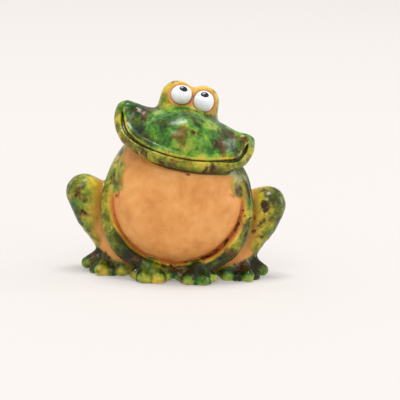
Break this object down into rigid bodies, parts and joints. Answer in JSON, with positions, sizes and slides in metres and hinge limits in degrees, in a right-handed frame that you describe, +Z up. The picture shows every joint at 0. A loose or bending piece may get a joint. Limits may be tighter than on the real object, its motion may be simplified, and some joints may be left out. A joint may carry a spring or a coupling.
{
  "type": "glazed ceramic frog figurine",
  "caption": "Glazed terracotta frog figurine that sits upright, with a bare round belly, a wide grin, a tilted head and bulging eyes; a hollow ornament that stands on a flat base.",
  "frame": {"origin": "on the surface that the frog stands on, under the middle of its box", "axes": "+Z up, the frog faces -Y, +X is on the right of someone who looks at its face"},
  "size_m": [0.1616, 0.1, 0.1456],
  "materials": {
    "belly_clay": "unglazed terracotta, smooth and satin",
    "back_glaze": "gloss, mottled olive and green",
    "base_clay": "unglazed terracotta, matt",
    "head_glaze": "gloss, mottled green with brown spots",
    "lip_glaze": "gloss, yellow-green with brown patches",
    "hood_glaze": "gloss, yellow-green over bare orange clay",
    "eye_white": "gloss white",
    "eye_black": "gloss black",
    "limb_glaze": "gloss, mottled yellow-green, olive and brown",
    "foot_glaze": "gloss, dark green that pools between lighter toes"
  },
  "bodies": {
    "root": {"base_slab": "base_clay", "belly_shell": "belly_clay", "back_shell": "back_glaze", "head_shell": "head_glaze", "lower_lip_coil": "lip_glaze", "upper_lip_coil": "lip_glaze", "eye_hood_left": "hood_glaze", "eye_hood_right": "hood_glaze", "eyeball_left": "eye_white", "eyeball_right": "eye_white", "pupil_left": "eye_black", "pupil_right": "eye_black", "arm_left": "limb_glaze", "arm_right": "limb_glaze", "thigh_left": "limb_glaze", "thigh_right": "limb_glaze", "shank_left": "limb_glaze", "shank_right": "limb_glaze", "hind_foot_left": "foot_glaze", "hind_foot_right": "foot_glaze", "front_foot_left": "foot_glaze", "front_foot_right": "foot_glaze"}
  },
  "joints": []
}
